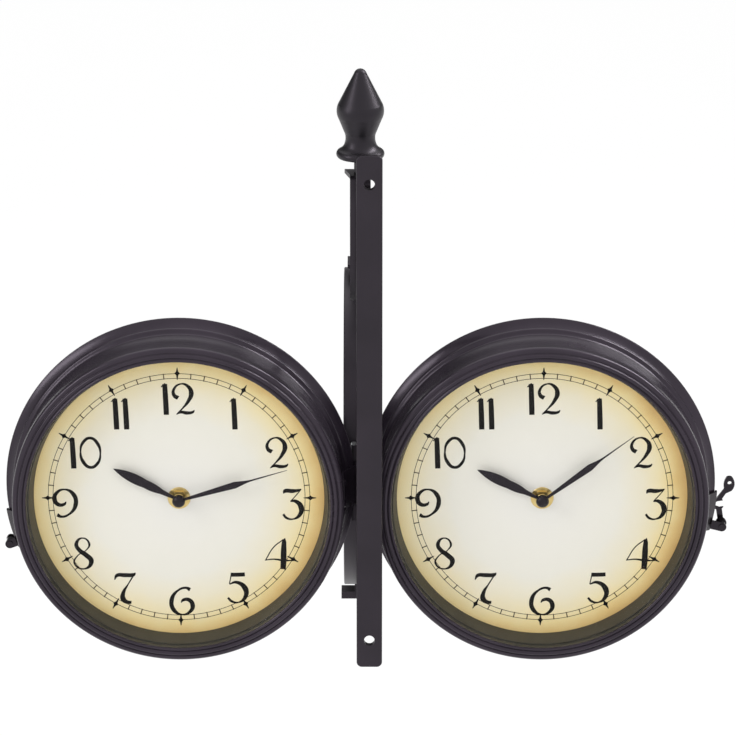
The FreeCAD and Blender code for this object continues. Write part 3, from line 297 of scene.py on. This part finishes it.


# The dials: steel discs printed in ivory and held by posts behind them. Toward the edge the ivory
# turns yellow and tan, painted shade of the deep bezel, more at the right. Each disc is the node
# itself.
def printed_ivory(name, centre, right_side_shade):
    """Printed ivory lacquer, cream with a low sheen, and painted shade in warm yellow and tan at
    the edge.
    """
    material, tree, output = start_material(name)
    place = add_node(tree, "ShaderNodeTexCoord")
    centred = add_node(tree, "ShaderNodeMapping",
                       values={"Location": [-part * MM for part in centre]},
                       links={"Vector": (place, "Object")})
    parts = add_node(tree, "ShaderNodeSeparateXYZ", links={"Vector": (centred, "Vector")})
    flat = add_node(tree, "ShaderNodeCombineXYZ", links={"X": (parts, "X"), "Z": (parts, "Z")})
    reach = add_node(tree, "ShaderNodeVectorMath", {"operation": "LENGTH"},
                     links={0: (flat, "Vector")})
    # ageing blotches about 25 mm across shift the painted shade at the edge in and out
    blotch = add_node(tree, "ShaderNodeTexNoise", values={"Scale": 40.0, "Detail": 3.0},
                      links={"Vector": (place, "Object")})
    waver = add_node(tree, "ShaderNodeMath", {"operation": "MULTIPLY_ADD"},
                     values={1: 0.014, 2: -0.007}, links={0: (blotch, "Fac")})
    # the painted shade leans to the right and a little downward
    shade_lean = add_node(tree, "ShaderNodeVectorMath", {"operation": "DOT_PRODUCT"},
                    values={1: (right_side_shade, 0.0, -0.012)}, links={0: (flat, "Vector")})
    total = add_node(tree, "ShaderNodeMath", {"operation": "ADD"},
                     links={0: (reach, "Value"), 1: (waver, "Value")})
    shade_leaned = add_node(tree, "ShaderNodeMath", {"operation": "ADD"},
                      links={0: (total, "Value"), 1: (shade_lean, "Value")})
    # the tones and the painted shade are spread over 120 mm from the centre, a little more than the
    # dial's radius
    share = add_node(tree, "ShaderNodeMath", {"operation": "DIVIDE"}, values={1: 0.12},
                     links={0: (shade_leaned, "Value")})
    ramp = add_node(tree, "ShaderNodeValToRGB", links={"Fac": (share, "Value")})
    # cream in the middle, then painted shade in yellow and tan toward the edge of the recessed dial
    ivory_and_shade_tones = [(0.0, "F1EFE9"), (0.52, "F1EEE2"), (0.68, "F4ECD2"), (0.78, "F9EBBF"),
             (0.85, "FCE6A8"), (0.91, "F5D48E"), (1.0, "DEAE68")]
    while len(ramp.color_ramp.elements) < len(ivory_and_shade_tones):
        ramp.color_ramp.elements.new(0.5)
    for stop, (position, code) in zip(ramp.color_ramp.elements, ivory_and_shade_tones):
        stop.position = position
        stop.color = colour(code)
    # the back of the disc is left in grey primer, with the same blotches
    facing = add_node(tree, "ShaderNodeSeparateXYZ", links={"Vector": (place, "Normal")})
    behind = add_node(tree, "ShaderNodeMath", {"operation": "GREATER_THAN"}, values={1: 0.5},
                      links={0: (facing, "Y")})
    primer = add_node(tree, "ShaderNodeValToRGB", links={"Fac": (blotch, "Fac")})
    primer.color_ramp.elements[0].color = colour("8E908D")
    primer.color_ramp.elements[1].color = colour("A5A7A3")
    sides = add_node(tree, "ShaderNodeMixRGB",
                     links={"Fac": (behind, "Value"), "Color1": (ramp, "Color"),
                            "Color2": (primer, "Color")})
    shader = add_node(tree, "ShaderNodeBsdfPrincipled",
                      values={"Roughness": 0.55, "Specular IOR Level": 0.3},
                      links={"Base Color": (sides, "Color")})
    tree.links.new(shader.outputs["BSDF"], output.inputs["Surface"])
    return material


def dress(node, material):
    """Give one finish to every slot of a node's mesh."""
    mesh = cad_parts[node].data
    if not mesh.materials:
        mesh.materials.append(material)
    for index in range(len(mesh.materials)):
        mesh.materials[index] = material


for half, side in SIDES.items():
    # the painted shade on the right dial leans a little more than on the left one
    right_side_shade = 0.06 + 0.015 * side
    dress(half + "_dial", printed_ivory(half + "_printed_ivory", half_centre(side), right_side_shade))


# The minute track and the hour marks: two fine brown rings with a stroke for each minute across
# them, and a slim four pointed star in black at each hour, all screen printed on the dial.
def printing_ink(name, code):
    """Screen printed ink: dull and thin, so that its tone is uneven over every 2 mm."""
    material, tree, output = start_material(name)
    place = add_node(tree, "ShaderNodeTexCoord")
    cloud = add_node(tree, "ShaderNodeTexNoise", values={"Scale": 600.0, "Detail": 2.0},
                     links={"Vector": (place, "Object")})
    tint = add_node(tree, "ShaderNodeMixRGB", {"blend_type": "MULTIPLY"},
                    values={"Fac": 0.35, "Color1": colour(code)},
                    links={"Color2": (cloud, "Color")})
    shader = add_node(tree, "ShaderNodeBsdfPrincipled",
                      values={"Roughness": 0.6, "Specular IOR Level": 0.25},
                      links={"Base Color": (tint, "Color")})
    tree.links.new(shader.outputs["BSDF"], output.inputs["Surface"])
    return material


black_ink = printing_ink("black_ink", "0F0B08")
brown_ink = printing_ink("brown_ink", "3B2B19")
PRINT_LEVEL, PRINT_THICKNESS = 31.5, 0.06


def join(name, parts):
    """Make one piece of several."""
    bpy.ops.object.select_all(action="DESELECT")
    for part in parts:
        part.select_set(True)
    bpy.context.view_layer.objects.active = parts[0]
    bpy.ops.object.join()
    parts[0].name = name
    return parts[0]


def thin_ring(name, radius, width, centre):
    """A flat printed ring: a thin rectangle turned about the dial's axis."""
    return lathe(name, [(radius, PRINT_LEVEL), (radius + width, PRINT_LEVEL),
                        (radius + width, PRINT_LEVEL + PRINT_THICKNESS),
                        (radius, PRINT_LEVEL + PRINT_THICKNESS)], centre, steps=180)


def printed_shape(name, corners, centre, turn):
    """A flat printed shape: corners in mm round the dial's middle, turned clockwise by degrees."""
    bpy.ops.object.select_all(action="DESELECT")
    bpy.ops.mesh.primitive_circle_add(vertices=len(corners), radius=1.0, fill_type="NGON")
    piece = bpy.context.object
    piece.name = name
    for vertex, (across, up) in zip(piece.data.vertices, corners):
        vertex.co = (across * MM, -(PRINT_LEVEL + PRINT_THICKNESS) * MM, up * MM)
    piece.data.transform(Matrix.Rotation(math.radians(turn), 4, "Y"))
    piece.data.transform(Matrix.Translation(Vector(centre) * MM))
    bpy.ops.object.mode_set(mode="EDIT")
    bpy.ops.mesh.select_all(action="SELECT")
    bpy.ops.mesh.normals_make_consistent(inside=False)
    thickness = (0.0, PRINT_THICKNESS * MM, 0.0)
    bpy.ops.mesh.extrude_region_move(TRANSFORM_OT_translate={"value": thickness})
    bpy.ops.mesh.select_all(action="SELECT")
    bpy.ops.mesh.normals_make_consistent(inside=False)
    bpy.ops.object.mode_set(mode="OBJECT")
    return piece


RING_WIDTH = 0.42
MINUTE_STROKE = [(-0.36, 93.3), (0.36, 93.3), (0.36, 97.7), (-0.36, 97.7)]
HOUR_STAR = [(0.25, 92.6), (0.8, 96.2), (2.0, 97.6), (0.8, 99.0), (0.25, 102.0),
             (-0.25, 102.0), (-0.8, 99.0), (-2.0, 97.6), (-0.8, 96.2), (-0.25, 92.6)]
for half, side in SIDES.items():
    centre = half_centre(side)
    track = [thin_ring("inner_ring", 93.5, RING_WIDTH, centre),
             thin_ring("outer_ring", 97.1, RING_WIDTH, centre)]
    for minute in range(60):
        if minute % 5:
            track.append(printed_shape("minute_stroke", MINUTE_STROKE, centre, minute * 6.0))
    track = join(half + "_minute_track", track)
    track.data.materials.append(brown_ink)
    stars = []
    for hour in range(12):
        stars.append(printed_shape("hour_star", HOUR_STAR, centre, hour * 30.0))
    stars = join(half + "_hour_stars", stars)
    stars.data.materials.append(black_ink)
    for piece in (track, stars):
        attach(piece, half + "_case")


# The numerals: black figures with swelling strokes, upright all round the dial and printed like the
# track. Each is a few pen strokes, whose points are (x, y, half width) in parts of the height.
STROKES = {
    "0": [("loop", [
              (0.34, 0.965, 0.038), (0.13, 0.84, 0.04), (0.04, 0.54, 0.022),
              (0.11, 0.22, 0.046), (0.33, 0.035, 0.04), (0.54, 0.16, 0.04),
              (0.63, 0.46, 0.022), (0.56, 0.78, 0.044)])],
    "1": [("line", [
              (0.13, 0.0, 0.068), (0.125, 0.2, 0.07), (0.11, 0.6, 0.068),
              (0.095, 0.97, 0.062)]),
          ("line", [
              (-0.02, 0.87, 0.01), (0.05, 0.925, 0.026), (0.12, 0.98, 0.024)])],
    "2": [("line", [
              (0.19, 0.53, 0.058), (0.08, 0.6, 0.05), (0.055, 0.78, 0.036),
              (0.28, 0.972, 0.02), (0.5, 0.88, 0.046), (0.58, 0.68, 0.064),
              (0.5, 0.45, 0.046), (0.32, 0.21, 0.022), (0.16, 0.05, 0.012)]),
          ("line", [
              (0.13, 0.015, 0.012), (0.26, 0.085, 0.04), (0.44, 0.06, 0.048),
              (0.62, 0.09, 0.034), (0.67, 0.15, 0.01)])],
    "3": [("line", [
              (0.07, 0.84, 0.012), (0.12, 0.915, 0.056), (0.34, 0.92, 0.056),
              (0.52, 0.945, 0.036), (0.61, 0.985, 0.01)]),
          ("line", [
              (0.6, 0.97, 0.012), (0.44, 0.77, 0.013), (0.28, 0.59, 0.013)]),
          ("line", [
              (0.28, 0.59, 0.018), (0.42, 0.6, 0.046), (0.6, 0.4, 0.074),
              (0.55, 0.15, 0.05), (0.36, 0.025, 0.02), (0.16, 0.06, 0.034),
              (0.06, 0.18, 0.03)])],
    "4": [("line", [
              (0.64, 0.99, 0.01), (0.615, 0.86, 0.06), (0.6, 0.55, 0.076),
              (0.59, 0.2, 0.076), (0.575, -0.01, 0.07)]),
          ("line", [
              (0.6, 0.95, 0.016), (0.3, 0.7, 0.015), (0.06, 0.3, 0.015)]),
          ("line", [
              (0.03, 0.28, 0.014), (0.3, 0.31, 0.02), (0.6, 0.27, 0.032),
              (0.93, 0.27, 0.01)])],
    "5": [("line", [
              (0.15, 0.925, 0.056), (0.36, 0.925, 0.056), (0.58, 0.935, 0.056)]),
          ("line", [
              (0.17, 0.94, 0.016), (0.14, 0.78, 0.014), (0.11, 0.62, 0.014)]),
          ("line", [
              (0.11, 0.62, 0.016), (0.32, 0.68, 0.042), (0.59, 0.47, 0.074),
              (0.58, 0.19, 0.052), (0.38, 0.03, 0.02), (0.18, 0.06, 0.034),
              (0.06, 0.18, 0.03)])],
    "6": [("line", [
              (0.66, 0.84, 0.052), (0.54, 0.9, 0.034), (0.3, 0.82, 0.028),
              (0.1, 0.52, 0.058), (0.16, 0.18, 0.056), (0.42, 0.03, 0.022),
              (0.66, 0.14, 0.044), (0.73, 0.33, 0.062), (0.62, 0.51, 0.054),
              (0.44, 0.5, 0.04), (0.38, 0.42, 0.012)])],
    "7": [("line", [
              (0.02, 0.76, 0.012), (0.1, 0.9, 0.048), (0.34, 0.91, 0.058),
              (0.6, 0.93, 0.052), (0.66, 0.99, 0.01)]),
          ("line", [
              (0.62, 0.94, 0.018), (0.42, 0.6, 0.018), (0.28, 0.34, 0.05),
              (0.27, 0.14, 0.072), (0.4, 0.035, 0.052), (0.52, 0.03, 0.04)])],
    "8": [("loop", [
              (0.13, 0.8, 0.05), (0.22, 0.6, 0.056), (0.42, 0.44, 0.066),
              (0.57, 0.24, 0.066), (0.36, 0.0, 0.02), (0.06, 0.18, 0.026),
              (0.16, 0.42, 0.016), (0.42, 0.6, 0.014), (0.52, 0.8, 0.03),
              (0.32, 0.99, 0.018)])],
}
# a nine is a six turned upside down
turned_six = [(0.74 - x, 1.0 - y, width) for x, y, width in STROKES["6"][0][1]]
STROKES["9"] = [("line", turned_six)]
# the room that a figure takes along the line, in parts of its height
ADVANCE = {"1": 0.30, "4": 0.86, "6": 0.80, "9": 0.80}
USUAL_ADVANCE, LAST_GAP = 0.70, 0.06
FIGURE_HEIGHT = 24.8
STROKE_WEIGHT = 1.16
INK_FLATNESS = 0.02


def pen_strokes(name, figure, height, middle, centre):
    """One numeral: its strokes as flattened round curves, turned into a mesh on the dial."""
    width = sum(ADVANCE.get(digit, USUAL_ADVANCE) for digit in figure) - LAST_GAP
    curve = bpy.data.curves.new(name, "CURVE")
    curve.dimensions = "3D"
    curve.bevel_depth = 1.0
    curve.bevel_resolution = 3
    curve.resolution_u = 10
    curve.use_fill_caps = True
    start = -width / 2
    for digit in figure:
        for kind, points in STROKES[digit]:
            spline = curve.splines.new("BEZIER")
            spline.bezier_points.add(len(points) - 1)
            for point, (x, y, thickness) in zip(spline.bezier_points, points):
                point.co = ((start + x) * height, (y - 0.5) * height, 0.0)
                point.radius = thickness * height * STROKE_WEIGHT
                point.handle_left_type = point.handle_right_type = "AUTO"
            spline.use_cyclic_u = kind == "loop"
        start += ADVANCE.get(digit, USUAL_ADVANCE)
    figure_object = bpy.data.objects.new(name, curve)
    bpy.context.scene.collection.objects.link(figure_object)
    bpy.ops.object.select_all(action="DESELECT")
    figure_object.select_set(True)
    bpy.context.view_layer.objects.active = figure_object
    bpy.ops.object.convert(target="MESH")
    mesh = bpy.context.object.data
    mesh.transform(Matrix.Diagonal((MM, MM, INK_FLATNESS * MM, 1.0)))
    mesh.transform(Matrix.Rotation(math.radians(90.0), 4, "X"))
    mesh.transform(Matrix.Translation((middle[0] * MM, -(PRINT_LEVEL + 0.02) * MM, middle[1] * MM)))
    mesh.transform(Matrix.Translation(Vector(centre) * MM))
    return bpy.context.object


for half, side in SIDES.items():
    figures = []
    for hour in range(1, 13):
        # the figures stand on a slightly flattened circle, and the wide ten a little further in
        turn = math.radians(hour * 30.0)
        across = 80.0 if hour == 10 else 83.8
        middle = (across * math.sin(turn), 79.7 * math.cos(turn) - 2.0 - 3.0 * math.sin(turn) ** 2)
        figures.append(pen_strokes("numeral_%d" % hour, str(hour), FIGURE_HEIGHT, middle,
                                   half_centre(side)))
    figures = join(half + "_numerals", figures)
    figures.data.materials.clear()
    figures.data.materials.append(black_ink)
    bpy.ops.object.shade_smooth_by_angle(angle=math.radians(60.0))
    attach(figures, half + "_case")


# The glass: a flat round pane of window glass, 2 mm thick, that lies on the ledge inside the bezel.
# It is a little wider than the node it replaces, as the mouth of the bezel is.
def window_glass():
    """Float glass: clear, with ripples too long to see and no haze over the dial."""
    material, tree, output = start_material("window_glass")
    place = add_node(tree, "ShaderNodeTexCoord")
    ripple = add_node(tree, "ShaderNodeTexNoise", values={"Scale": 6.0, "Detail": 1.0},
                      links={"Vector": (place, "Object")})
    bump = add_node(tree, "ShaderNodeBump", values={"Strength": 0.02, "Distance": 0.001},
                    links={"Height": (ripple, "Fac")})
    shader = add_node(tree, "ShaderNodeBsdfPrincipled",
                      values={"Base Color": colour("1E2421"), "Roughness": 0.02, "IOR": 1.45,
                              "Alpha": 0.02},
                      links={"Normal": (bump, "Normal")})
    tree.links.new(shader.outputs["BSDF"], output.inputs["Surface"])
    return material


pane_finish = window_glass()
PANE = [(0.0, 46.0), (111.6, 46.0), (111.9, 46.3), (111.9, 47.7), (111.6, 48.0), (0.0, 48.0)]
for half, side in SIDES.items():
    pane = lathe(half + "_window_pane", PANE, half_centre(side), closed=False)
    pane.data.materials.append(pane_finish)
    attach(pane, half + "_case")
    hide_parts(half + "_glass")


# The hands and their domed nut: stamped from thin aluminium and painted black. Stem, washer, hex
# nut, hour pipe and arbor are brass, and hold the movement to the dial.
def bright_brass():
    """Turned brass: pale yellow metal, half polished, with clouds of tarnish 4 mm across."""
    material, tree, output = start_material("turned_brass")
    place = add_node(tree, "ShaderNodeTexCoord")
    tarnish = add_node(tree, "ShaderNodeTexNoise", values={"Scale": 260.0, "Detail": 4.0},
                       links={"Vector": (place, "Object")})
    tint = add_node(tree, "ShaderNodeValToRGB", links={"Fac": (tarnish, "Fac")})
    tint.color_ramp.elements[0].color = colour("CDAA5C")
    tint.color_ramp.elements[1].color = colour("F3E0A4")
    shader = add_node(tree, "ShaderNodeBsdfPrincipled", values={"Metallic": 1.0, "Roughness": 0.3},
                      links={"Base Color": (tint, "Color")})
    tree.links.new(shader.outputs["BSDF"], output.inputs["Surface"])
    return material


brass = bright_brass()
hand_paint = black_enamel("hand_paint", roughness=0.36, grain=0.5, dark="080708", light="0F0D0E")
for half in SIDES:
    for piece in ("stem", "washer", "hex_nut", "hour_pipe", "minute_arbor"):
        dress(half + "_" + piece, brass)
    for piece in ("hour_hand", "minute_hand", "cap_nut"):
        dress(half + "_" + piece, hand_paint)


# The bracket: bar, strap, stay, ring, lugs and hinge, cut from flat steel and enamelled together
# after they were riveted. The coat is duller and darker than that of the spun shells.
bracket_enamel = black_enamel("bracket_enamel", roughness=0.38, grain=1.0,
                              dark="151316", light="211D22")
for node in ("wall_bar", "bar_rivets", "scroll_strap", "lower_stay",
             "centre_ring", "ring_lugs", "hinge_saddle", "hinge_rivets"):
    dress(node, bracket_enamel)
for half in SIDES:
    for piece in ("hinge_leaf", "leaf_rivets"):
        dress(half + "_" + piece, enamel)


# The finial: a spear turned from bar, or cast, with a neck and a round foot, screwed to the end of
# the bar. Its enamel is a neutral black, and the dull grain of the casting shows through it.
finial_enamel = black_enamel("finial_enamel", roughness=0.4, grain=2.4,
                             dark="0B0B0D", light="141416")
dress("finial", finial_enamel)


# The catch: plates, posts and rivets of the keeper and the latch, and the hook. They are dipped in
# a harder, glossier black before they are riveted to the shells.
gloss_black = black_enamel("gloss_black", roughness=0.16, grain=1.2,
                           dark="060506", light="0C0A0C")
for node in ("keeper_plate", "keeper_post", "keeper_rivets",
             "latch_plate", "latch_post", "latch_rivets", "latch_hook"):
    dress(node, gloss_black)


# The steel that is left bare or zinc plated: the pins of the hinge, the screws, the dial posts and
# the contacts of the battery.
def zinc_plate(name, dark, light, roughness):
    """Zinc plate on steel: a grey metal with soft clouds of tone about 5 mm across."""
    material, tree, output = start_material(name)
    place = add_node(tree, "ShaderNodeTexCoord")
    cloud = add_node(tree, "ShaderNodeTexNoise", values={"Scale": 180.0, "Detail": 5.0},
                     links={"Vector": (place, "Object")})
    tint = add_node(tree, "ShaderNodeValToRGB", links={"Fac": (cloud, "Fac")})
    tint.color_ramp.elements[0].position = 0.35
    tint.color_ramp.elements[0].color = colour(dark)
    tint.color_ramp.elements[1].position = 0.65
    tint.color_ramp.elements[1].color = colour(light)
    shader = add_node(tree, "ShaderNodeBsdfPrincipled",
                      values={"Metallic": 1.0, "Roughness": roughness},
                      links={"Base Color": (tint, "Color")})
    tree.links.new(shader.outputs["BSDF"], output.inputs["Surface"])
    return material


zinc = zinc_plate("zinc_plate", "8E9092", "C4C6C8", 0.34)
for node in ("hinge_pins", "lug_screws", "finial_screw"):
    dress(node, zinc)
for half in SIDES:
    for piece in ("dial_posts", "dial_screws", "battery_contacts"):
        dress(half + "_" + piece, zinc)


# The movement: a black moulded box behind each dial, with a battery in its open bay and a white
# knob to set the hands.
def moulded_plastic(name, code):
    """Moulded ABS: a spark eroded grain of 0.7 mm, coarser than it is, and a soft sheen."""
    material, tree, output = start_material(name)
    place = add_node(tree, "ShaderNodeTexCoord")
    grain = add_node(tree, "ShaderNodeTexNoise", values={"Scale": 1500.0, "Detail": 2.0},
                     links={"Vector": (place, "Object")})
    bump = add_node(tree, "ShaderNodeBump", values={"Strength": 0.2, "Distance": 0.0001},
                    links={"Height": (grain, "Fac")})
    shader = add_node(tree, "ShaderNodeBsdfPrincipled",
                      values={"Base Color": colour(code), "Roughness": 0.5},
                      links={"Normal": (bump, "Normal")})
    tree.links.new(shader.outputs["BSDF"], output.inputs["Surface"])
    return material


black_plastic = moulded_plastic("black_abs", "1A1A1B")
white_plastic = moulded_plastic("white_abs", "DEDCD4")


def printed_wrap(name, centre):
    """A cell's printed film, glossy: dark green, and copper at its plus end."""
    material, tree, output = start_material(name)
    place = add_node(tree, "ShaderNodeTexCoord")
    parts = add_node(tree, "ShaderNodeSeparateXYZ", links={"Vector": (place, "Object")})
    along = add_node(tree, "ShaderNodeMath", {"operation": "GREATER_THAN"},
                     values={1: centre[0] * MM + 0.009}, links={0: (parts, "X")})
    cloud = add_node(tree, "ShaderNodeTexNoise", values={"Scale": 300.0, "Detail": 2.0},
                     links={"Vector": (place, "Object")})
    body = add_node(tree, "ShaderNodeValToRGB", links={"Fac": (cloud, "Fac")})
    body.color_ramp.elements[0].color = colour("23483A")
    body.color_ramp.elements[1].color = colour("2C5646")
    tint = add_node(tree, "ShaderNodeMixRGB", values={"Color2": colour("B06A3A")},
                    links={"Fac": (along, "Value"), "Color1": (body, "Color")})
    shader = add_node(tree, "ShaderNodeBsdfPrincipled", values={"Roughness": 0.28},
                      links={"Base Color": (tint, "Color")})
    tree.links.new(shader.outputs["BSDF"], output.inputs["Surface"])
    return material


for half, side in SIDES.items():
    dress(half + "_movement_case", black_plastic)
    dress(half + "_setting_knob", white_plastic)
    dress(half + "_battery", printed_wrap(half + "_battery_wrap", half_centre(side)))
